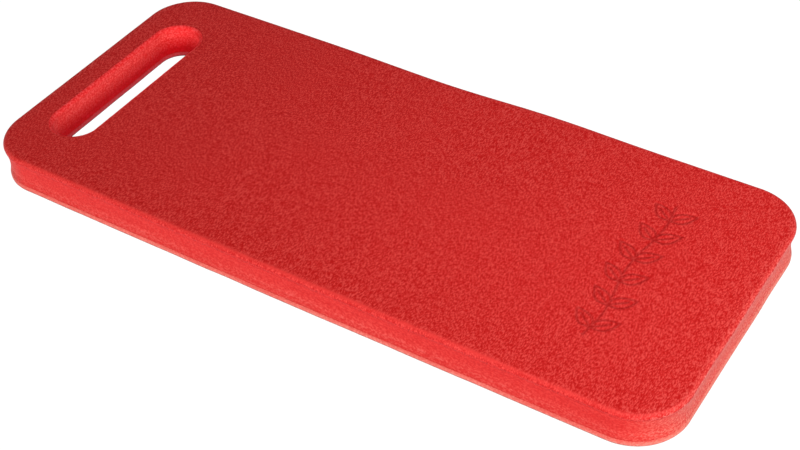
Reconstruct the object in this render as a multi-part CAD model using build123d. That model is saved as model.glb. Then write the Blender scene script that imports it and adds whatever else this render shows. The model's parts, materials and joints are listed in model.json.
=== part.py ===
from build123d import *
import os
from math import asin, cos, pi, sin

# Kneeling pad: a die-cut slab of closed-cell foam, laminated from four sheets with thin
# films of adhesive between them. It lies flat, with its slot end towards -X.
# Millimetres, +Z up, origin at the middle of the resting face.

# ---- driving dimensions ----
PAD_LENGTH = 484.0        # along X, at the widest point of the foot
PAD_WIDTH = 208.0         # along Y, at the widest point of the foot
PAD_THICKNESS = 25.0
CORNER_RADIUS = 34.0      # outline corners in plan

# the hand slot near one end
SLOT_WIDTH = 32.0         # along X, at its narrowest
SLOT_LENGTH = 137.0       # along Y, at its narrowest
SLOT_CENTRE = 36.8        # from the end of the pad to the middle of the slot

# the die squeezes the foam as it cuts, so every cut edge springs back hollow
EDGE_WAIST_RADIUS = 36.0  # hollow of the outer edge
SLOT_WAIST_RADIUS = 60.0  # hollow of the slot wall, which is shallower
WAIST_HEIGHT = 11.7       # height of the deepest point of both hollows
LIP_ROUND = 2.5           # top edges
FOOT_ROUND = 1.0          # bottom edges

# sheets and films, from the bottom up: name and thickness
BOTTOM_SKIN = 3.6
BOND_FILM = 0.25
CORE_BOND_TOP = 7.5       # height of the joint between the two core sheets
TOP_SKIN = 4.4
LAYERS = (
    ("bottom_skin", BOTTOM_SKIN),
    ("bottom_bond", BOND_FILM),
    ("lower_core", CORE_BOND_TOP - BOTTOM_SKIN - 2 * BOND_FILM),
    ("core_bond", BOND_FILM),
    ("upper_core", PAD_THICKNESS - CORE_BOND_TOP - BOND_FILM - TOP_SKIN),
    ("top_bond", BOND_FILM),
    ("top_skin", TOP_SKIN),
)

CUT_REACH = 3.0           # how far the cutting tools pass the edge they cut
SLOT_END_SLACK = 0.01     # the slot ends are this much short of full half circles


def edge_arcs(waist_radius):
    """The cut edge as three tangent arcs, at x = 0 where it stands out furthest at the foot.

    The waist arc is centred outside the foam. The lip and foot arcs are centred inside it,
    touch the waist arc from the other side, and run out level on the top and bottom faces.
    """
    lip_angle = asin((PAD_THICKNESS - LIP_ROUND - WAIST_HEIGHT) / (waist_radius + LIP_ROUND))
    foot_angle = asin((WAIST_HEIGHT - FOOT_ROUND) / (waist_radius + FOOT_ROUND))
    centre_x = (waist_radius + FOOT_ROUND) * cos(foot_angle) - FOOT_ROUND
    lip_x = centre_x - (waist_radius + LIP_ROUND) * cos(lip_angle)

    def on_circle(x, z, radius, angle):
        return (x + radius * cos(angle), z + radius * sin(angle))

    def on_waist(angle):
        return (centre_x - waist_radius * cos(angle), WAIST_HEIGHT + waist_radius * sin(angle))

    foot_middle = on_circle(-FOOT_ROUND, FOOT_ROUND, FOOT_ROUND, (foot_angle - pi / 2) / 2)
    lip_middle = on_circle(lip_x, PAD_THICKNESS - LIP_ROUND, LIP_ROUND, (pi / 2 - lip_angle) / 2)
    foot = ThreePointArc((-FOOT_ROUND, 0), foot_middle, on_waist(-foot_angle))
    waist = ThreePointArc(on_waist(-foot_angle), on_waist(0), on_waist(lip_angle))
    lip = ThreePointArc(on_waist(lip_angle), lip_middle, (lip_x, PAD_THICKNESS))
    return foot, waist, lip


def edge_cutter(outline, waist_radius, foam_side):
    """Everything beyond the cut edge, carried round a plan outline.

    foam_side is +1 where the foam is inside the outline and -1 where it is outside.
    """
    path = outline.face().outer_wire()
    start = path @ 0
    across = (path % 0).cross(Vector(0, 0, 1))
    away = across if across.dot(start - outline.face().center()) > 0 else across * -1
    away = away * foam_side
    section = Plane(origin=start, x_dir=away, z_dir=away.cross(Vector(0, 0, 1)))
    foot, waist, lip = edge_arcs(waist_radius)
    back = Polyline(lip @ 1, (CUT_REACH, PAD_THICKNESS), (CUT_REACH, 0), foot @ 0)
    return sweep(section * make_face([foot, waist, lip, back]), path=path)


def pad_blank():
    """The whole pad in one piece: the slab with its outer edge and its hand slot cut."""
    outline = RectangleRounded(PAD_LENGTH, PAD_WIDTH, CORNER_RADIUS)
    slot_at = Pos(SLOT_CENTRE - PAD_LENGTH / 2, 0)
    slot = slot_at * RectangleRounded(SLOT_WIDTH, SLOT_LENGTH, SLOT_WIDTH / 2 - SLOT_END_SLACK)
    blank = extrude(outline, PAD_THICKNESS) - extrude(slot, PAD_THICKNESS)
    blank -= edge_cutter(outline, EDGE_WAIST_RADIUS, 1)
    blank -= edge_cutter(slot, SLOT_WAIST_RADIUS, -1)
    return blank


def slab(bottom, thickness):
    """A flat slice of space, larger than the pad in plan."""
    size = 2 * PAD_LENGTH
    return Pos(0, 0, bottom) * Box(size, size, thickness, align=(Align.CENTER, Align.CENTER, Align.MIN))


def main():
    os.makedirs("parts", exist_ok=True)
    blank = pad_blank()
    print("pad", round(blank.volume / 1000), "cm3", blank.bounding_box().size)
    bottom = 0.0
    for name, thickness in LAYERS:
        layer = blank & slab(bottom, thickness)
        export_step(layer.solid(), f"parts/{name}.step")
        print(name, "from", round(bottom, 3), "mm up,", round(layer.volume / 1000, 1), "cm3")
        bottom += thickness


main()
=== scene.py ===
import json
from math import cos, pi, radians, sin

import bpy
import numpy as np
from mathutils import Matrix, Vector


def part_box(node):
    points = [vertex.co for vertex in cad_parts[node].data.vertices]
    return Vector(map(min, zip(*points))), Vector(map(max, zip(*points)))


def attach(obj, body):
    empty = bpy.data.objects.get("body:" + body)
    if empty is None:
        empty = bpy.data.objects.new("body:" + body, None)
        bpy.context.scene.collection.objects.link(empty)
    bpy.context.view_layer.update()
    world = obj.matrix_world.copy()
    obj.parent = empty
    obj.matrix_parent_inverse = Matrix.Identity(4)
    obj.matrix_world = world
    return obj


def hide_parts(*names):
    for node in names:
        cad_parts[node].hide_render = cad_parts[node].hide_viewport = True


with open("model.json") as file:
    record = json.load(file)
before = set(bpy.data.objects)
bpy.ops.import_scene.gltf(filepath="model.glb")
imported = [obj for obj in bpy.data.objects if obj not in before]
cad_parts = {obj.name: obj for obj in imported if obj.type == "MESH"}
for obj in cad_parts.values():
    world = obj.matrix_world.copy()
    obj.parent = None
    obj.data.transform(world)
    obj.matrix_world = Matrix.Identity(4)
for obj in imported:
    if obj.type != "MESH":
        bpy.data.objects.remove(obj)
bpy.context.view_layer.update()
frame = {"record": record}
mm = 0.001

# The foam pad's measures. Lengths and heights come from the frame, the rest is the shape of the cut.
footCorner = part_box("bottom_skin")[1]
pad = {
    "halfX": footCorner.x,
    "halfY": footCorner.y,
    "top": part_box("top_skin")[1].z,
    "cornerFoot": 33.8 * mm,       # plan corners
    "cornerTop": 33.3 * mm,
    "waistRadius": 36.0 * mm,      # hollow of the cut edge
    "waistHeight": 11.7 * mm,
    "lipRound": 2.5 * mm,
    "footRound": 1.0 * mm,
    "endLean": 0.4 * mm,           # how far the ends lean out from foot to lip
    "wander": 1.6 * mm,            # how far the back edge strays from straight
    "wanderAt": 29.0 * mm,
    "wanderWidth": 62.0 * mm,
    "bow": 0.8 * mm,               # how far the front edge bulges along its middle
}
handSlot = {
    "x": next(m for m in frame["record"]["mounts"] if m["name"] == "hang_slot")["pos_m"][0],
    "halfX": 16.0 * mm,
    "halfY": 68.5 * mm,
    "waistRadius": 60.0 * mm,
    "shadeFrom": 17.5 * mm,        # painted shade: its wall is painted deeper in colour between these heights, where little light reaches down the slot
    "shadeTo": 7.0 * mm,
    "shadePower": 0.85,
    "shadeReach": 4.0 * mm,        # how far from the slot the shade ends, and over how much it fades
    "shadeFade": 2.0 * mm,
}
padOutline = (pad["halfX"], pad["halfY"], pad["cornerFoot"])
slotOutline = (handSlot["halfX"], handSlot["halfY"], handSlot["halfX"])
print("frame loaded, pad", round(2 * pad["halfX"] / mm), "x", round(2 * pad["halfY"] / mm), "mm")


cameraView = {
    "azimuth": 34.28,
    "elevation": 41.61,
    "roll": -3.07,
    "distance": 0.9445,
    "aside": (0.02024, -0.01167, 0.0),     # what it looks at, from the middle of the pad's foot
    "lens": 68.0,
    "sensor": 36.0,
    "clip": (0.01, 50.0),
}


def makeCamera(view):
    # it stands back by distance, turned by azimuth, raised by elevation and rolled about its own axis
    turn, rise, roll = (radians(view[key]) for key in ("azimuth", "elevation", "roll"))
    back = Vector((sin(turn) * cos(rise), -cos(turn) * cos(rise), sin(rise)))
    level = Vector((cos(turn), sin(turn), 0))
    upright = back.cross(level)
    across = level * cos(roll) + upright * sin(roll)
    up = upright * cos(roll) - level * sin(roll)
    stand = Vector(view["aside"]) + back * view["distance"]
    camera = bpy.data.objects.new("camera", bpy.data.cameras.new("camera"))
    camera.data.lens = view["lens"]
    camera.data.sensor_width = view["sensor"]
    camera.data.clip_start, camera.data.clip_end = view["clip"]
    camera.matrix_world = Matrix((
        (across.x, up.x, back.x, stand.x),
        (across.y, up.y, back.y, stand.y),
        (across.z, up.z, back.z, stand.z),
        (0, 0, 0, 1),
    ))
    bpy.context.scene.collection.objects.link(camera)
    bpy.context.scene.camera = camera


def newMaterial(name):
    # a material and its Principled shader
    material = bpy.data.materials.new(name)
    material.use_nodes = True
    return material, material.node_tree.nodes["Principled BSDF"]


studio = {
    "floorHalf": 4.0,
    "floorDrop": 0.3 * mm,
    "floorTone": 0.05,
    "floorRoughness": 0.9,
    "floorGlow": 1.0,
    "wallHeight": 3.0,
    # the tent of light is brightest low down on the side it faces, and dim from there to behind
    "brightSide": (0.38, -0.86, -0.1),
    "brightFrom": 0.5,
    "brightTo": 0.92,
    "bright": 4.4,
    "dim": 0.16,
    # key: where it stands, how wide it is, its power
    "keyPlace": (0.44, -0.09, 0.60),
    "keySize": 0.3,
    "keyPower": 3.4,
}


def makeStage(name, points, faces, look):
    # a flat piece of the studio, which glows evenly
    mesh = bpy.data.meshes.new(name)
    mesh.from_pydata(points, [], faces)
    stage = bpy.data.objects.new(name, mesh)
    bpy.context.scene.collection.objects.link(stage)
    material, shader = newMaterial(name)
    tone = look["floorTone"]
    shader.inputs["Base Color"].default_value = (tone, tone, tone, 1)
    shader.inputs["Roughness"].default_value = look["floorRoughness"]
    shader.inputs["Emission Color"].default_value = (1, 1, 1, 1)
    shader.inputs["Emission Strength"].default_value = look["floorGlow"]
    mesh.materials.append(material)
    return stage


def makeStudio(look):
    # a floor, four walls, a tent of light round them, and a key light turned to the middle of the pad
    half, low, high = look["floorHalf"], -look["floorDrop"], look["wallHeight"]
    corners = [(-half, -half), (half, -half), (half, half), (-half, half)]
    makeStage("floor", [(x, y, low) for x, y in corners], [(0, 1, 2, 3)], look)
    wallPoints = [(x, y, z) for z in (low, high) for x, y in corners]
    wallFaces = [(k, (k + 1) % 4, (k + 1) % 4 + 4, k + 4) for k in range(4)]
    backdrop = makeStage("backdrop", wallPoints, wallFaces, look)
    # the backdrop shows behind the pad but lets the tent of light through
    backdrop.visible_diffuse = False
    backdrop.visible_glossy = False
    backdrop.visible_shadow = False

    # the tent's strength goes evenly from dim to bright with the dot product of direction and brightSide
    world = bpy.data.worlds.new("tent")
    world.use_nodes = True
    bpy.context.scene.world = world
    nodes, links = world.node_tree.nodes, world.node_tree.links
    direction = nodes.new("ShaderNodeTexCoord")
    facing = nodes.new("ShaderNodeVectorMath")
    facing.operation = "DOT_PRODUCT"
    facing.inputs[1].default_value = look["brightSide"]
    fade = nodes.new("ShaderNodeMapRange")
    fade.inputs["From Min"].default_value = look["brightFrom"]
    fade.inputs["From Max"].default_value = look["brightTo"]
    fade.inputs["To Min"].default_value = look["dim"]
    fade.inputs["To Max"].default_value = look["bright"]
    links.new(direction.outputs["Generated"], facing.inputs[0])
    links.new(facing.outputs["Value"], fade.inputs["Value"])
    links.new(fade.outputs["Result"], nodes["Background"].inputs["Strength"])
    nodes["Background"].inputs["Color"].default_value = (1, 1, 1, 1)

    key = bpy.data.objects.new("keyLight", bpy.data.lights.new("keyLight", "AREA"))
    key.data.size = look["keySize"]
    key.data.energy = look["keyPower"]
    key.location = look["keyPlace"]
    key.rotation_mode = "QUATERNION"
    key.rotation_quaternion = key.location.to_track_quat("Z", "Y")
    bpy.context.scene.collection.objects.link(key)

    bpy.context.scene.view_settings.view_transform = "Standard"
    bpy.context.scene.view_settings.look = "None"


makeCamera(cameraView)
makeStudio(studio)
print("camera and studio made")


tableSize = 8192                   # how many random values a noise draws before it repeats
cellPrimes = (73856093, 19349663, 83492791)


def tableIndex(cells):
    # which of the table's values belongs to each cell of a cubic lattice: its three numbers, each times a
    # large prime, are joined bit by bit with exclusive or, and the remainder by the table's size is taken
    x, y, z = (number * prime for number, prime in zip(cells.T, cellPrimes))
    return (x ^ y ^ z) % tableSize


def latticeNoise(points, cell, seed):
    # random heights from -1 to 1 at the corners of a cubic lattice, joined along each axis by the fade
    # 3t^2 - 2t^3, where t runs from 0 to 1 across a cell
    table = np.random.default_rng(seed).uniform(-1, 1, tableSize)
    scaled = points / cell
    low = np.floor(scaled).astype(np.int64)
    t = scaled - low
    t = t * t * (3 - 2 * t)
    total = np.zeros(len(points))
    for corner in np.ndindex(2, 2, 2):
        share = np.where(corner, t, 1 - t).prod(axis=1)
        total += share * table[tableIndex(low + corner)]
    return total


def pebbleNoise(points, cell, seed):
    # one stray point in each cell of a cubic lattice; the height is 1 - (d / cell)^2, where d is the
    # distance to the nearest stray point, so that each is the crown of a small dome
    strays = np.random.default_rng(seed).random((tableSize, 3))
    scaled = points / cell
    low = np.floor(scaled).astype(np.int64)
    nearest = np.full(len(points), np.inf)
    for step in np.ndindex(3, 3, 3):
        cells = low + np.array(step) - 1
        gap = scaled - (cells + strays[tableIndex(cells)])
        nearest = np.minimum(nearest, (gap ** 2).sum(axis=1))
    return 1 - nearest


lap = 8.0                          # phases in one lap of an outline: a straight and an arc for each corner


def sideLengths(halfX, halfY, radius):
    # of a rounded rectangle: the straight at an end, the arc of a corner, the straight along a side
    return 2 * (halfY - radius), radius * pi / 2, 2 * (halfX - radius)


def outlineAt(s, halfX, halfY, radius):
    # where a rounded rectangle's outline is after a length s, anticlockwise from the low end of its +X
    # side: the corner that the point hangs on, as -1 to 1 each way, the outward angle, and the phase;
    # a point is corner * (half - radius) + radius * (cos, sin)
    end, arc, long = sideLengths(halfX, halfY, radius)
    breaks = np.cumsum([0, end, arc, long, arc, end, arc, long, arc])
    s = np.mod(s, breaks[-1])
    cornerX = np.interp(s, breaks, [1, 1, 1, -1, -1, -1, -1, 1, 1])
    cornerY = np.interp(s, breaks, [-1, 1, 1, 1, 1, -1, -1, -1, -1])
    angle = np.interp(s, breaks, np.array([0, 0, 1, 1, 2, 2, 3, 3, 4]) * pi / 2)
    return cornerX, cornerY, angle, np.interp(s, breaks, np.arange(lap + 1))


def evenSteps(halfX, halfY, radius, step):
    # lengths along the outline, evenly spaced within each straight and arc, about step apart, and how
    # many there are on an end, an arc and a side; an arc has an even number
    end, arc, long = sideLengths(halfX, halfY, radius)
    counts = [max(1, round(end / step)), 2 * max(1, round(arc / step / 2)), round(long / step)]
    lengths, start = [], 0.0
    for part in (0, 1, 2, 1, 0, 1, 2, 1):
        size = (end, arc, long)[part]
        lengths.append(start + size * np.arange(counts[part]) / max(1, counts[part]))
        start += size
    return np.concatenate(lengths), counts


edgeRowsPlan = {
    "arcPoints": (60, 400, 120),   # points along the foot, waist and lip arcs, to read rows from
    "seamRows": np.array([0.1, 0.25, 0.5]) * mm,     # extra rows this far from a glued seam
    "seamClear": 0.8 * mm,         # where the even rows begin again
    "thin": 1.2 * mm,              # an edge shorter than this has only thinRows of them
    "thinRows": 4,
    "fewest": 3,
    "near": 0.001 * mm,            # heights closer than this are the same
    "seamsInSlot": 0.2,            # share of the seams' depth that the slot wall has
}


def edgeCurve(waistRadius):
    # the cut edge from the bottom face up to the top face, as closely spaced (offset, height, tilt):
    # a foot arc, a waist arc centred outside the foam, and a lip arc, each touching the next; tilt is
    # the outward normal's angle above level, and offset 0 is where the foot stands out furthest
    lip, foot, waist, top = pad["lipRound"], pad["footRound"], pad["waistHeight"], pad["top"]
    lipAngle = np.arcsin((top - lip - waist) / (waistRadius + lip))
    footAngle = np.arcsin((waist - foot) / (waistRadius + foot))
    centre = (waistRadius + foot) * cos(footAngle) - foot
    lipX = centre - (waistRadius + lip) * cos(lipAngle)
    footPoints, waistPoints, lipPoints = edgeRowsPlan["arcPoints"]
    a = np.linspace(-pi / 2, footAngle, footPoints)
    b = np.linspace(-footAngle, lipAngle, waistPoints)
    c = np.linspace(-lipAngle, pi / 2, lipPoints)
    offset = np.concatenate([
        -foot + foot * np.cos(a),
        centre - waistRadius * np.cos(b),
        lipX + lip * np.cos(c),
    ])
    height = np.concatenate([
        foot + foot * np.sin(a),
        waist + waistRadius * np.sin(b),
        top - lip + lip * np.sin(c),
    ])
    return offset, height, np.concatenate([a, -b, c])


def edgeRows(waistRadius, low, high, sheet, hole):
    # the rows of one sheet's cut edge between two heights: the edge curve, read off at even steps of its
    # own length, with closer rows at a glued seam, where the sheet's corner is pressed in by
    # depth * exp(-distance / seamWidth), less so in the slot; seamDepths is for its lower and upper seam
    plan = edgeRowsPlan
    offset, height, tilt = edgeCurve(waistRadius)
    length = np.concatenate([[0], np.cumsum(np.hypot(np.diff(offset), np.diff(height)))])
    first, last = np.interp([low, high], height, length)
    if low <= 0:
        first = 0.0
    if high >= pad["top"] - plan["near"]:
        last = length[-1]
    even = np.linspace(first, last, max(plan["fewest"], round((last - first) / sheet["row"])) + 1)
    if low > 0:
        after = even[1:][even[1:] > first + plan["seamClear"]]
        even = np.concatenate([even[:1], first + plan["seamRows"], after])
    if high < pad["top"] - plan["near"]:
        before = even[:-1][even[:-1] < last - plan["seamClear"]]
        even = np.concatenate([before, last - plan["seamRows"][::-1], even[-1:]])
    if last - first < plan["thin"]:
        even = np.linspace(first, last, plan["thinRows"])
    rows = np.stack([np.interp(even, length, curve) for curve in (offset, height, tilt)], axis=1)
    depthBelow, depthAbove = np.array(sheet["seamDepths"]) * (plan["seamsInSlot"] if hole else 1)
    rows[:, 0] += (0 if hole else sheet["proud"]) - depthBelow * np.exp((first - even) / sheet["seamWidth"])
    rows[:, 0] -= depthAbove * np.exp((even - last) / sheet["seamWidth"])
    return rows


def ring(s, rows, hole):
    # the cut edge carried round an outline: for each row and each length, the point and its outward
    # normal; the pad's corner radius goes evenly from cornerFoot to cornerTop with height
    offset, height, tilt = (column[:, None] for column in rows.T)
    cornerX, cornerY, angle = outlineAt(s, *(slotOutline if hole else padOutline))[:3]
    if hole:
        radius = handSlot["halfX"]
        reach = radius - offset
        x = handSlot["x"] + reach * np.cos(angle)
        y = cornerY * (handSlot["halfY"] - radius) + reach * np.sin(angle)
    else:
        radius = pad["cornerFoot"] + (pad["cornerTop"] - pad["cornerFoot"]) * height / pad["top"]
        reach = radius + offset
        x = cornerX * (pad["halfX"] + pad["endLean"] * height / pad["top"] - radius) + reach * np.cos(angle)
        y = cornerY * (pad["halfY"] - radius) + reach * np.sin(angle)
    points = np.stack([x, y, np.broadcast_to(height, x.shape)], axis=2)
    level = np.cos(tilt) * (-1 if hole else 1)
    rise = np.broadcast_to(np.sin(tilt), x.shape)
    return points, np.stack([level * np.cos(angle), level * np.sin(angle), rise], axis=2)


def gridFaces(rows, columns, flip):
    # four corners for each cell of a grid of points, numbered row by row
    corner = (np.arange(rows - 1)[:, None] * columns + np.arange(columns - 1)).ravel()
    quads = np.stack([corner, corner + 1, corner + columns + 1, corner + columns], axis=1)
    return quads[:, ::-1] if flip else quads


def zipFaces(phaseOuter, phaseInner, flip):
    # triangles that join two rings, one inside the other: both are walked together, and the one whose
    # next point has the lower phase steps first; inner points are numbered after outer ones
    outer, inner = len(phaseOuter), len(phaseInner)
    nextOuter = np.append(phaseOuter[1:], lap)
    nextInner = np.append(phaseInner[1:], phaseInner[0] + lap)
    i = np.arange(outer)
    j = np.clip(np.searchsorted(phaseInner, nextOuter, "left") - 1, 0, inner - 1)
    stepOuter = np.stack([i, (i + 1) % outer, outer + j], axis=1)
    k = np.arange(inner)
    m = np.clip(np.searchsorted(np.append(phaseOuter, lap), nextInner, "right") - 1, 0, outer) % outer
    stepInner = np.stack([m, outer + (k + 1) % inner, outer + k], axis=1)
    faces = np.concatenate([stepOuter, stepInner])
    return faces[:, ::-1] if flip else faces


def coons(bottom, top, left, right):
    # a grid inside four edges: the blend of bottom and top, plus the blend of left and right, less the
    # bilinear blend of the corners; rows run from left to right
    u = np.linspace(0, 1, len(bottom))[:, None, None]
    v = np.linspace(0, 1, len(left))[None, :, None]
    across = (1 - v) * bottom[:, None] + v * top[:, None]
    along = (1 - u) * left[None] + u * right[None]
    corners = (1 - u) * ((1 - v) * left[0] + v * left[-1]) + u * ((1 - v) * right[0] + v * right[-1])
    return across + along - corners


def gridPart(points, flip, surface=0):
    # a smooth grid of points; surface is which of the piece's materials it has
    faces = gridFaces(*points.shape[:2], flip)
    return {"points": points, "faces": faces, "smooth": True, "surface": surface}


def edgePart(edge, hole):
    # a cut edge, closed by its first column repeated at the end
    return gridPart(np.concatenate([edge, edge[:, :1]], axis=1), hole, int(hole))


def flatPart(outer, inner, sOuter, sInner, flip):
    # the hidden flat face between a row of points round the pad and one round the slot
    phaseOuter, phaseInner = outlineAt(sOuter, *padOutline)[3], outlineAt(sInner, *slotOutline)[3]
    faces = zipFaces(phaseOuter, phaseInner, flip)
    return {"points": np.concatenate([outer, inner]), "faces": faces, "smooth": False, "surface": 0}


weldDigits = 7                     # points that are the same to this many digits of a metre are one


def meshFromParts(name, parts, materials):
    # one closed mesh from parts that share their edges: points that fall within a tenth of a micron are
    # welded, and faces left with two corners the same are dropped
    points = np.concatenate([part["points"].reshape(-1, 3) for part in parts])
    rounded = np.round(points, weldDigits)
    first, joined = np.unique(rounded, axis=0, return_index=True, return_inverse=True)[1:]
    joined = joined.ravel()
    welded = points[first]
    loops, starts, smooth, surface, offset, total = [], [], [], [], 0, 0
    for part in parts:
        faces = joined[part["faces"] + offset]
        offset += part["points"].size // 3
        faces = faces[(faces != np.roll(faces, 1, axis=1)).all(axis=1)]
        loops.append(faces.ravel())
        starts.append(total + faces.shape[1] * np.arange(len(faces)))
        smooth.append(np.full(len(faces), part["smooth"]))
        surface.append(np.full(len(faces), part["surface"]))
        total += faces.size
    starts = np.concatenate(starts)
    mesh = bpy.data.meshes.new(name)
    mesh.vertices.add(len(welded))
    mesh.vertices.foreach_set("co", welded.astype(np.float32).ravel())
    mesh.loops.add(total)
    mesh.loops.foreach_set("vertex_index", np.concatenate(loops).astype(np.int32))
    mesh.polygons.add(len(starts))
    mesh.polygons.foreach_set("loop_start", starts.astype(np.int32))
    mesh.polygons.foreach_set("use_smooth", np.concatenate(smooth))
    mesh.polygons.foreach_set("material_index", np.concatenate(surface).astype(np.int32))
    mesh.update(calc_edges=True)
    for material in materials:
        mesh.materials.append(material)
    mesh.validate()
    layers = {
        "slotShadeShare": slotShadeShare(welded),
        "pressed": pressedDepth(welded, sprig),
        "paintedHighlight": rimHighlightShare(welded),
        "endLight": endLightShare(welded),
    }
    for layer, values in layers.items():
        mesh.attributes.new(layer, "FLOAT", "POINT").data.foreach_set("value", values.astype(np.float32))
    piece = bpy.data.objects.new(name, mesh)
    bpy.context.scene.collection.objects.link(piece)
    return piece


litEnds = {                        # painted light: the cut faces of the two ends are painted paler, standing in for the key light falling on them
    "below": 0.8 * mm,             # they stop this far under the top, and fade in over the next
    "fade": 1.6 * mm,
    "trace": 0.45,                 # what is left of them above the rim, and how far it reaches
    "traceWidth": 3.0 * mm,
}
rimHighlight = {                        # painted highlight: a paler band inside the rim of the kneeling face, where light catches the rounded lip
    "at": 1.0 * mm,
    "width": 1.2 * mm,
    "level": 0.8,
    "uneven": 0.6,
    "cell": 6.0 * mm,
    "seed": 91,
    "deepest": 2.0 * mm,           # how far under the top it ends, and over how much it fades
    "fade": 1.5 * mm,
    "lessOnEnds": 0.7,
}


def slotShadeShare(points):
    # painted shade down the slot wall: 0 outside the slot and in the top of it, 1 at the foot of its wall,
    # where
    # little light reaches: it rises evenly between the two heights, as t^shadePower, and fades out over the
    # last of shadeReach from the slot's outline
    straight = handSlot["halfY"] - handSlot["halfX"]
    along = np.clip(points[:, 1], -straight, straight)
    gap = np.hypot(points[:, 0] - handSlot["x"], points[:, 1] - along) - handSlot["halfX"]
    deep = (handSlot["shadeFrom"] - points[:, 2]) / (handSlot["shadeFrom"] - handSlot["shadeTo"])
    near = np.clip((handSlot["shadeReach"] - gap) / handSlot["shadeFade"], 0, 1)
    return np.clip(deep, 0, 1) ** handSlot["shadePower"] * near


def insetFrom(points):
    # how far each point is inside the pad's outline, seen from above: the corner radius less the distance
    # from the nearest corner's centre, or from the line between two centres
    radius = pad["cornerTop"]
    beyond = np.maximum(abs(points[:, :2]) - (pad["halfX"] - radius, pad["halfY"] - radius), -radius)
    return radius - np.where((beyond > 0).all(axis=1), np.hypot(*beyond.T), beyond.max(axis=1))


def towardsEnd(points):
    # 0 along the pad, rising evenly to 1 over the length of a corner at each end
    return np.clip((abs(points[:, 0]) - pad["halfX"] + pad["cornerFoot"]) / pad["cornerFoot"], 0, 1)


def endLightShare(points):
    # painted light on the ends: 0 along the pad, 1 on the cut faces of its two ends, rising by t^2 round the
    # corners; above the rim only a trace of it is left, which falls by exp(-distance from the outline /
    # traceWidth)
    side = np.clip((pad["top"] - litEnds["below"] - points[:, 2]) / litEnds["fade"], 0, 1)
    inside = np.maximum(insetFrom(points), 0)
    trace = litEnds["trace"] * np.exp(-inside / litEnds["traceWidth"]) * (points[:, 2] > pad["top"] / 2)
    return towardsEnd(points) ** 2 * np.maximum(side, trace)


def rimHighlightShare(points):
    # painted highlight: up to 1 along the rounded rim of the kneeling face, where light catches it: a bell
    # curve of the distance from the outline, uneven along the rim, less on the ends and below the rim
    bell = np.exp(-((insetFrom(points) - rimHighlight["at"]) / rimHighlight["width"]) ** 2)
    uneven = rimHighlight["level"] + rimHighlight["uneven"] * latticeNoise(points, rimHighlight["cell"], rimHighlight["seed"])
    onRim = np.clip((points[:, 2] - pad["top"] + rimHighlight["deepest"]) / rimHighlight["fade"], 0, 1)
    return np.clip(bell * uneven * onRim * (1 - rimHighlight["lessOnEnds"] * towardsEnd(points)), 0, 1)


def strayed(points):
    # the long edges aren't quite straight: the back one follows the slope of a bell curve,
    # sqrt(2e) * u * exp(-u^2), the front one bulges by a cosine, and both fade to nothing at the middle
    moved = points.copy()
    x, y = points[..., 0], points[..., 1]
    u = (x - pad["wanderAt"]) / pad["wanderWidth"]
    back = np.clip(y / pad["halfY"], 0, 1) ** 2
    front = np.clip(-y / pad["halfY"], 0, 1) ** 2
    moved[..., 1] += back * pad["wander"] * np.sqrt(2 * np.e) * u * np.exp(-u * u)
    moved[..., 1] -= front * pad["bow"] * np.cos(pi * x / (2 * pad["halfX"]))
    return moved


def addNoise(nodes, links, vector, scale, detail, stretch):
    # a noise texture on Object coordinates, its scale in cells per metre
    mapping = nodes.new("ShaderNodeMapping")
    mapping.inputs["Scale"].default_value = stretch
    noise = nodes.new("ShaderNodeTexNoise")
    noise.inputs["Scale"].default_value = scale
    noise.inputs["Detail"].default_value = detail
    links.new(vector, mapping.inputs["Vector"])
    links.new(mapping.outputs["Vector"], noise.inputs["Vector"])
    return noise.outputs["Fac"]


def addRamp(nodes, links, value, stops):
    # the colour that a value from 0 to 1 has between stops, each a (position, colour)
    ramp = nodes.new("ShaderNodeValToRGB")
    elements = ramp.color_ramp.elements
    for position, color in stops[2:]:
        elements.new(position)
    for element, (position, color) in zip(elements, stops):
        element.position = position
        element.color = (*color, 1)
    links.new(value, ramp.inputs["Fac"])
    return ramp.outputs["Color"]


def addMix(nodes, links, kind, share, first, second):
    # two colours joined by a share; each of the three is a value, or a socket to take it from
    mix = nodes.new("ShaderNodeMix")
    mix.data_type = "RGBA"
    mix.blend_type = kind
    for socket, value in ((mix.inputs[0], share), (mix.inputs[6], first), (mix.inputs[7], second)):
        if isinstance(value, (float, tuple)):
            socket.default_value = value if isinstance(value, float) else (*value, 1)
        else:
            links.new(value, socket)
    return mix.outputs[2]


def addSpecks(nodes, links, cells, look):
    # red strays by the first share of spread either way, green and blue by the second, and twice as far on
    # the pale side; the three shades are divided by the palest, so that none is above 1
    red, rest = look["spread"]
    shares = np.array([(1 - red, 1 - rest, 1 - rest), (1, 1, 1), (1 + red, 1 + 2 * rest, 1 + 2 * rest)])
    shades = [tuple(map(float, np.clip(share, 0, None))) for share in shares / shares[2]]
    return addRamp(nodes, links, cells, list(zip(look["speckStops"], shades))), shares[2]


def addShadeBands(nodes, links, vector, shadeBands):
    # painted light and shade: a tint for each height up the cut edge, in mm, joined by even fades
    parts = nodes.new("ShaderNodeSeparateXYZ")
    links.new(vector, parts.inputs["Vector"])
    height = nodes.new("ShaderNodeMapRange")
    height.inputs["From Max"].default_value = pad["top"]
    links.new(parts.outputs["Z"], height.inputs["Value"])
    stops = [(z * mm / pad["top"], tint) for z, tint in shadeBands]
    return addRamp(nodes, links, height.outputs["Result"], stops)


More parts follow.
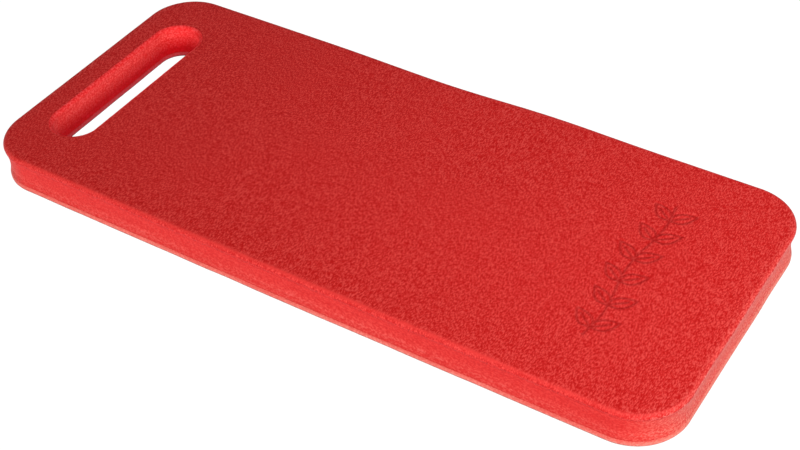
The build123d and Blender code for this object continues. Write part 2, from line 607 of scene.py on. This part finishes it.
def foamMaterial(name, look):
    # coloured foam: a base colour with painted light and shade that change with height, painted light on the
    # cut ends and a painted highlight along the rim; specks of darker and paler cells; painted shade deep in
    # the slot, and deeper in colour where the mark is pressed; a fine bump
    material, shader = newMaterial(name)
    nodes, links = material.node_tree.nodes, material.node_tree.links
    vector = nodes.new("ShaderNodeTexCoord").outputs["Object"]

    def attribute(layer):
        node = nodes.new("ShaderNodeAttribute")
        node.attribute_name = layer
        return node.outputs["Fac"]

    cells = addNoise(nodes, links, vector, look["grain"], look["grainDetail"], look["stretch"])
    specks, palest = addSpecks(nodes, links, cells, look)
    base, endLitColor = (tuple(map(float, np.array(look[key]) * palest)) for key in ("color", "endLitColor"))
    if look["shadeBands"]:
        base = addMix(nodes, links, "MULTIPLY", 1.0, addShadeBands(nodes, links, vector, look["shadeBands"]), base)
    # painted light: paler towards the ends
    base = addMix(nodes, links, "MIX", attribute("endLight"), base, endLitColor)
    if look["streaks"]:
        lines = addNoise(nodes, links, vector, look["streaks"], look["fineDetail"], look["streakStretch"])
        tints = addRamp(nodes, links, lines, list(zip(look["streakStops"], look["streakTints"])))
        base = addMix(nodes, links, "MULTIPLY", 1.0, base, tints)
    paintedHighlight = attribute("paintedHighlight")
    base = addMix(nodes, links, "MIX", paintedHighlight, base, look["highlightColor"])
    outsideHighlight = nodes.new("ShaderNodeMath")               # the painted highlight takes off most of the specks and the bump
    outsideHighlight.operation = "MULTIPLY_ADD"
    outsideHighlight.inputs[1].default_value = -look["highlightSmoothing"]
    outsideHighlight.inputs[2].default_value = 1.0
    links.new(paintedHighlight, outsideHighlight.inputs[0])
    color = addMix(nodes, links, "MULTIPLY", outsideHighlight.outputs[0], base, specks)
    # painted shade deep in the slot, and a deeper colour where the mark is pressed
    for layer, tint in (("slotShadeShare", look["slotShadeTint"]), ("pressed", look["pressedTint"])):
        color = addMix(nodes, links, "MULTIPLY", attribute(layer), color, tint)
    links.new(color, shader.inputs["Base Color"])
    shader.inputs["Roughness"].default_value = look["roughness"]
    shader.inputs["Specular IOR Level"].default_value = look["gloss"]
    shader.inputs["Sheen Weight"].default_value = look["sheen"]
    shader.inputs["Sheen Roughness"].default_value = look["sheenRoughness"]
    bump = nodes.new("ShaderNodeBump")
    bump.inputs["Strength"].default_value = look["bump"]
    bump.inputs["Distance"].default_value = look["bumpHeight"]
    fine = nodes.new("ShaderNodeMath")
    fine.operation = "MULTIPLY"
    finer = addNoise(nodes, links, vector, 2 * look["grain"], look["fineDetail"], look["stretch"])
    links.new(finer, fine.inputs[0])
    links.new(outsideHighlight.outputs[0], fine.inputs[1])
    links.new(fine.outputs[0], bump.inputs["Height"])
    links.new(bump.outputs["Normal"], shader.inputs["Normal"])
    return material


foam = {
    "color": (0.61, 0.0165, 0.0142),
    "endLitColor": (0.62, 0.052, 0.043),
    # painted highlight: the colour along the rounded rim
    "highlightColor": (0.69, 0.036, 0.031),
    "highlightSmoothing": 0.8,
    "shadeBands": [                     # painted shade under the lip: tints that the colour is multiplied by, at heights in mm
        (20.4, (0.92, 0.20, 0.20)),
        (22.2, (0.93, 0.40, 0.40)),
        (23.4, (1.0, 1.0, 1.0)),
    ],
    "spread": (0.20, 1.25),        # how far the specks stray from the colour: red, then green and blue
    "speckStops": (0.38, 0.50, 0.62),
    "grain": 950.0,                # cells per metre
    "grainDetail": 3.0,
    "fineDetail": 2.0,
    "stretch": (1.6, 0.6, 1),
    "streaks": 0.0,                # lines along the cut edge, in cells per metre of height
    "streakStretch": (0.03, 0.03, 1),
    "streakStops": (0.35, 0.65),
    "streakTints": ((0.95, 0.72, 0.72), (1.0, 1.0, 1.0)),
    "roughness": 0.6,
    "gloss": 0.2,
    "sheen": 0.02,
    "sheenRoughness": 0.5,
    "bump": 0.9,
    "bumpHeight": 0.12 * mm,
    # painted shade: what the slot wall is multiplied by at its foot
    "slotShadeTint": (0.58, 0.05, 0.14),
    "pressedTint": (0.75, 0.6, 0.6),
}
cutFoam = foam | {
    "color": (0.665, 0.042, 0.035),
    "endLitColor": (0.67, 0.094, 0.071),
    # painted light and shade: deeper red high up, where the edge faces down under the lip, paler lower down,
    # where it faces up, palest near the glued seam at 7.8 mm
    "shadeBands": [
        (4.0, (0.90, 0.76, 0.76)),
        (6.6, (0.95, 0.80, 0.80)),
        (7.8, (1.0, 1.0, 1.0)),
        (9.4, (0.97, 0.78, 0.78)),
        (13.0, (0.93, 0.48, 0.48)),
        (18.5, (0.94, 0.38, 0.38)),
        (20.4, (0.90, 0.33, 0.33)),
    ],
    "spread": (0.08, 0.5),
    "streaks": 420.0,
    "stretch": (0.8, 0.8, 1),
    "gloss": 0.14,
    "sheen": 0.01,
    "bump": 0.5,
}
# painted light and shade: the slot wall is painted brighter than the outer cut edge, standing in for the key
# light on its upper part, and takes the painted shade towards its foot
slotFoamLitAndShaded = cutFoam | {"color": (0.82, 0.039, 0.040), "shadeBands": [], "sheen": 0.0, "gloss": 0.05}
baseFoam = cutFoam | {
    # painted light: the base sheet's pale colour, palest towards its foot, stands in for light bounced up
    # from the floor
    "color": (0.71, 0.165, 0.13),
    "endLitColor": (0.68, 0.17, 0.13),
    "shadeBands": [
        (0.9, (0.45, 0.68, 0.72)),       # painted contact shadow along its foot
        (1.35, (1.0, 0.95, 0.95)),
        (2.6, (1.0, 0.80, 0.80)),
        (3.6, (0.96, 0.62, 0.62)),
    ],
    "spread": (0.05, 0.2),
}
# painted shade: the base sheet's slot wall is shaded deeper towards its foot
slotBaseShaded = baseFoam | {"sheen": 0.0, "gloss": 0.05, "slotShadeTint": (0.62, 0.25, 0.4)}
paleGlue = cutFoam | {"color": (0.68, 0.050, 0.042), "shadeBands": []}
darkGlue = cutFoam | {
    "color": (0.58, 0.020, 0.017),
    "endLitColor": (0.62, 0.078, 0.060),
    "shadeBands": [],
    "sheen": 0.0,
    "gloss": 0.05,
}


cutEdge = {
    "heights": (0.0, 3.6 * mm, 7.4 * mm, 20.6 * mm, 25.0 * mm),
    "depths": (0.05 * mm, 0.08 * mm, 0.14 * mm, 0.12 * mm, 0.10 * mm),      # how rough at those heights
    "drawnCell": 1.5 * mm,
    "drawnOut": (1, 1, 0.3),
    "drawnShare": 0.6,
    "fineCell": 0.9 * mm,
    "fineShare": 0.4,
    "broadCell": 22.0 * mm,
    "broadDepth": 0.15 * mm,
    "seed": 21,
}


def cutRelief(points, edge):
    # how far the cut foam stands off its smooth edge, one field for all the sheets so that their seams
    # meet: depth at this height * (drawnShare of a noise drawn out along Z + fineShare of a finer noise),
    # plus a broad unevenness
    drawn = latticeNoise(points * edge["drawnOut"], edge["drawnCell"], edge["seed"])
    fine = latticeNoise(points, edge["fineCell"], edge["seed"] + 1)
    broad = latticeNoise(points, edge["broadCell"], edge["seed"] + 2)
    depth = np.interp(points[:, 2], edge["heights"], edge["depths"])
    return depth * (edge["drawnShare"] * drawn + edge["fineShare"] * fine) + edge["broadDepth"] * broad


def makeSheet(name, sheet, materials):
    # a flat sheet of foam or film: its cut edges round the outline and the slot, and two hidden flat faces
    low, high = (corner.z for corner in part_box(name))
    sOuter = evenSteps(*padOutline, sheet["column"])[0]
    sInner = evenSteps(*slotOutline, sheet["column"])[0]
    edges = []
    for s, waist, hole in ((sOuter, pad["waistRadius"], False), (sInner, handSlot["waistRadius"], True)):
        points, normals = ring(s, edgeRows(waist, low, high, sheet, hole), hole)
        points += normals * cutRelief(points.reshape(-1, 3), cutEdge).reshape(points.shape[:2] + (1,))
        points[0, :, 2], points[-1, :, 2] = low, high
        edges.append(strayed(points))
    outer, inner = edges
    parts = [
        edgePart(outer, False),
        edgePart(inner, True),
        flatPart(outer[0], inner[0], sOuter, sInner, True),
        flatPart(outer[-1], inner[-1], sOuter, sInner, False),
    ]
    return meshFromParts(name + "Foam", parts, materials)


topSkin = {
    "column": 0.75 * mm,
    "row": 0.65 * mm,
    "seamDepths": (0.02 * mm, 0.0),
    "seamWidth": 0.2 * mm,
    "proud": 0.0,
    "seed": 11,
    "pebble": 1.7 * mm,            # size of a pebble, and how high it stands
    "pebbleHeight": 0.14 * mm,
    "pebbleLevel": 0.6,            # the part of that height that is at the smooth shape
    "pebbleFade": 2.5 * mm,        # how wide the strip at the rim is that has few pebbles
    "underMark": 0.7,              # how much the mark flattens them
    "fine": 0.05 * mm,
    "fineCell": 0.8 * mm,
    "swell": 0.25 * mm,            # slow rise and fall of the whole face
    "swellCell": 55.0 * mm,
    "cutBelow": 2.2 * mm,          # how far under the top the cut foam begins, and over how much
    "cutFade": 1.6 * mm,
    "split": 18.0 * mm,            # from the slot to where the plain grid begins
    "aroundSlot": 30,
    "sag": 0.35 * mm,              # how far the face drops towards its edge
    "sagWidth": 4.0 * mm,
}

sprig = {
    "x": 171.5 * mm,
    "from": -61.0 * mm,
    "to": 62.0 * mm,
    "sway": 2.2 * mm,
    "swings": 1.5,                 # full waves of the stem
    "leaves": 6,
    "firstLeaf": 0.35,             # where the first pair is, in spaces between pairs
    "leafLength": 17.0 * mm,
    "leafWidth": 4.2 * mm,
    "leafBelly": 0.8,              # below 1 puts the widest part nearer the root
    "lean": 52.0,
    "stemPoints": 400,
    "leafPoints": 70,
    "ribPoints": 50,
    "stroke": 0.85 * mm,
    "depth": 0.55 * mm,
    "margin": 6.0 * mm,            # how far beyond a leaf's length a point is still looked at
    "under": 1.5 * mm,             # and how far under the top
}


def sprigLines(design):
    # the pressed mark, as points along its lines: a stem x = sway * sin, with pairs of leaves that lean
    # out from it; a leaf's two edges are +-width * sin(pi * t^leafBelly), with a rib down its middle
    span, waves = design["to"] - design["from"], 2 * design["swings"] * pi
    t = np.linspace(0, 1, design["stemPoints"])
    stem = np.stack([design["x"] + design["sway"] * np.sin(waves * t), design["from"] + span * t], axis=1)
    t = np.linspace(0, 1, design["leafPoints"])
    rib = np.stack([t * design["leafLength"], 0 * t], axis=1)[:design["ribPoints"]]
    wide = design["leafWidth"] * np.sin(pi * t ** design["leafBelly"])
    edges = [np.stack([t * design["leafLength"], side * wide], axis=1) for side in (1, -1)]
    lines = [stem]
    for number in range(design["leaves"]):
        at = (number + design["firstLeaf"]) / design["leaves"]
        root = np.array([design["x"] + design["sway"] * sin(waves * at), design["from"] + span * at])
        for side in (1, -1):
            lean = radians(90 - side * design["lean"])
            turn = np.array([[cos(lean), sin(lean)], [-sin(lean), cos(lean)]])
            lines += [root + line @ turn for line in (rib, *edges)]
    return lines


def pressedDepth(points, design):
    # how deep the mark is pressed, from 0 to 1: exp(-(d / stroke)^4), where d is the distance to its
    # nearest line
    depth = np.zeros(len(points))
    reach = design["leafLength"] + design["margin"]
    near = (abs(points[:, 0] - design["x"]) < reach) & (points[:, 2] > pad["top"] - design["under"])
    near &= (points[:, 1] > design["from"] - reach) & (points[:, 1] < design["to"] + reach)
    close = np.full(near.sum(), np.inf)
    for line in sprigLines(design):
        gap = points[near][:, None, :2] - line[None]
        close = np.minimum(close, np.sqrt((gap ** 2).sum(axis=2).min(axis=1)))
    depth[near] = np.exp(-(close / design["stroke"]) ** 4)
    return depth


def skinRelief(points, normals, skin):
    # how the kneeling skin stands off its smooth shape: pebbles, a finer noise, a slow swell, a drop of
    # sag * exp(-distance to the edge / sagWidth), and the pressed mark, which flattens the pebbles inside
    # its lines; down the cut side the pebbles give way to cut foam
    flat = points.reshape(-1, 3)
    pressed = pressedDepth(flat, sprig)
    onTop = np.clip((flat[:, 2] - (pad["top"] - skin["cutBelow"])) / skin["cutFade"], 0, 1)
    domes = pebbleNoise(flat, skin["pebble"], skin["seed"]) - skin["pebbleLevel"]
    pebbles = skin["pebbleHeight"] * domes
    pebbles += skin["fine"] * latticeNoise(flat, skin["fineCell"], skin["seed"] + 1)
    swell = skin["swell"] * latticeNoise(flat, skin["swellCell"], skin["seed"] + 3)
    edge = np.maximum(insetFrom(flat), 0)
    sag = skin["sag"] * np.exp(-edge / skin["sagWidth"])
    pebbles *= 1 - np.exp(-edge / skin["pebbleFade"])
    top = pebbles * (1 - skin["underMark"] * pressed) + swell - sag
    height = onTop * top + (1 - onTop) * cutRelief(flat, cutEdge)
    height -= sprig["depth"] * pressed
    return points + normals * height.reshape(points.shape[:-1] + (1,))


def makeTopSkin(skin, materials):
    # the kneeling sheet; its top is two grids that share an edge: a ring of straight rules from the slot
    # out to the end of the pad, and a Coons patch over the rest
    name = "top_skin"
    low, high = (corner.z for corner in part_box(name))
    sOuter, (ends, arcs, longs) = evenSteps(*padOutline, skin["column"])
    outer, outerNormals = ring(sOuter, edgeRows(pad["waistRadius"], low, high, skin, False), False)
    lip = outer[-1]

    # where the two grids meet, at a point of the outline that both long sides have
    wanted = handSlot["x"] + handSlot["halfX"] + skin["split"]
    backSide = ends + arcs + longs - np.arange(longs)
    k = int(np.argmin(abs(lip[backSide, 0] - wanted)))
    backAt = ends + arcs + longs - k                      # its number on the +Y side
    frontAt = 2 * ends + 3 * arcs + longs + k             # and on the -Y side
    half = arcs // 2
    total = len(lip)
    frontEdge = lip[np.arange(frontAt, total - half + 1) % total]
    backEdge = lip[np.arange(backAt, ends + half - 1, -1)]
    farEdge = lip[np.arange(total - half, total + ends + half + 1) % total]
    share = np.linspace(0, 1, len(farEdge))[:, None]
    seam = (1 - share) * lip[frontAt] + share * lip[backAt]
    plain = coons(frontEdge, backEdge, seam, farEdge)
    plain[0], plain[-1], plain[:, 0], plain[:, -1] = seam, farEdge, frontEdge, backEdge

    # round the slot: each point of the loop outside it pairs with the slot at the same share of its length
    loop = np.concatenate([seam[:-1], lip[backAt:frontAt]])
    steps = np.linalg.norm(np.roll(loop, -1, axis=0) - loop, axis=1)
    walked = np.concatenate([[0], np.cumsum(steps)[:-1]]) - steps[:len(seam) - 1].sum() / 2
    straight = handSlot["halfY"] - handSlot["halfX"]
    slotLength = 4 * straight + 2 * pi * handSlot["halfX"]
    sInner = np.mod(straight + walked / steps.sum() * slotLength, slotLength)
    first = int(np.argmin(sInner))
    sInner, loop = np.roll(sInner, -first), np.roll(loop, -first, axis=0)
    inner, innerNormals = ring(sInner, edgeRows(handSlot["waistRadius"], low, high, skin, True), True)
    t = np.linspace(0, 1, skin["aroundSlot"] + 1)[:, None, None]
    ruled = (1 - t) * inner[-1][None] + t * loop[None]

    def relieved(points, normals):
        return strayed(skinRelief(points, normals, skin))

    up = np.array([0.0, 0.0, 1.0])
    outerNormals[0], innerNormals[0] = 0, 0               # the bottom row stays on the film below
    outer, inner = relieved(outer, outerNormals), relieved(inner, innerNormals)
    plain, ruled = (relieved(grid, 0 * grid + up) for grid in (plain, ruled))
    parts = [
        edgePart(outer, False),
        edgePart(inner, True),
        gridPart(np.concatenate([ruled, ruled[:, :1]], axis=1), True),
        gridPart(plain, True),
        flatPart(outer[0], inner[0], sOuter, sInner, True),
    ]
    return meshFromParts(name + "Foam", parts, materials)


# each piece's second material is its slot wall, with painted light and painted shade
skinSurfaces = [foamMaterial("kneelingSkin", foam), foamMaterial("kneelingSkinInSlotLitAndShaded", slotFoamLitAndShaded)]
coreSurfaces = [foamMaterial("cutCore", cutFoam), foamMaterial("cutCoreInSlotLitAndShaded", slotFoamLitAndShaded)]
baseSurfaces = [foamMaterial("cutBase", baseFoam), foamMaterial("cutBaseInSlotShaded", slotBaseShaded)]
paleSurfaces = [foamMaterial("paleGlue", paleGlue), foamMaterial("paleGlueInSlotLitAndShaded", slotFoamLitAndShaded)]
darkSurfaces = [foamMaterial("darkGlue", darkGlue), foamMaterial("darkGlueInSlotLitAndShaded", slotFoamLitAndShaded)]
print("foam and glue materials made")

core = {"column": 0.75 * mm, "row": 0.85 * mm, "seamWidth": 0.2 * mm, "proud": 0.0, "foam": True}
film = {"column": 0.75 * mm, "row": 0.1 * mm, "seamWidth": 0.2 * mm, "seamDepths": (0.0, 0.0), "foam": False}
sheets = {
    "upper_core": (core | {"seamDepths": (0.03 * mm, 0.02 * mm)}, coreSurfaces, "core_foam"),
    "lower_core": (core | {"seamDepths": (0.22 * mm, 0.03 * mm)}, coreSurfaces, "core_foam"),
    "bottom_skin": (core | {"row": 0.6 * mm, "seamDepths": (0.0, 0.18 * mm)}, baseSurfaces, "base_skin"),
    "top_bond": (film | {"proud": -0.02 * mm}, darkSurfaces, "adhesive"),
    "core_bond": (film | {"proud": 0.03 * mm}, paleSurfaces, "adhesive"),
    "bottom_bond": (film | {"proud": -0.2 * mm}, darkSurfaces, "adhesive"),
}


def handOver(piece, node):
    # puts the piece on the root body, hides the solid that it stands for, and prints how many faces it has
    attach(piece, "root")
    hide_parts(node)
    print(piece.name, len(piece.data.polygons), "faces")


handOver(makeTopSkin(topSkin, skinSurfaces), "top_skin")
for node, (sheet, surfaces, slotName) in sheets.items():
    handOver(makeSheet(node, sheet, surfaces), node)
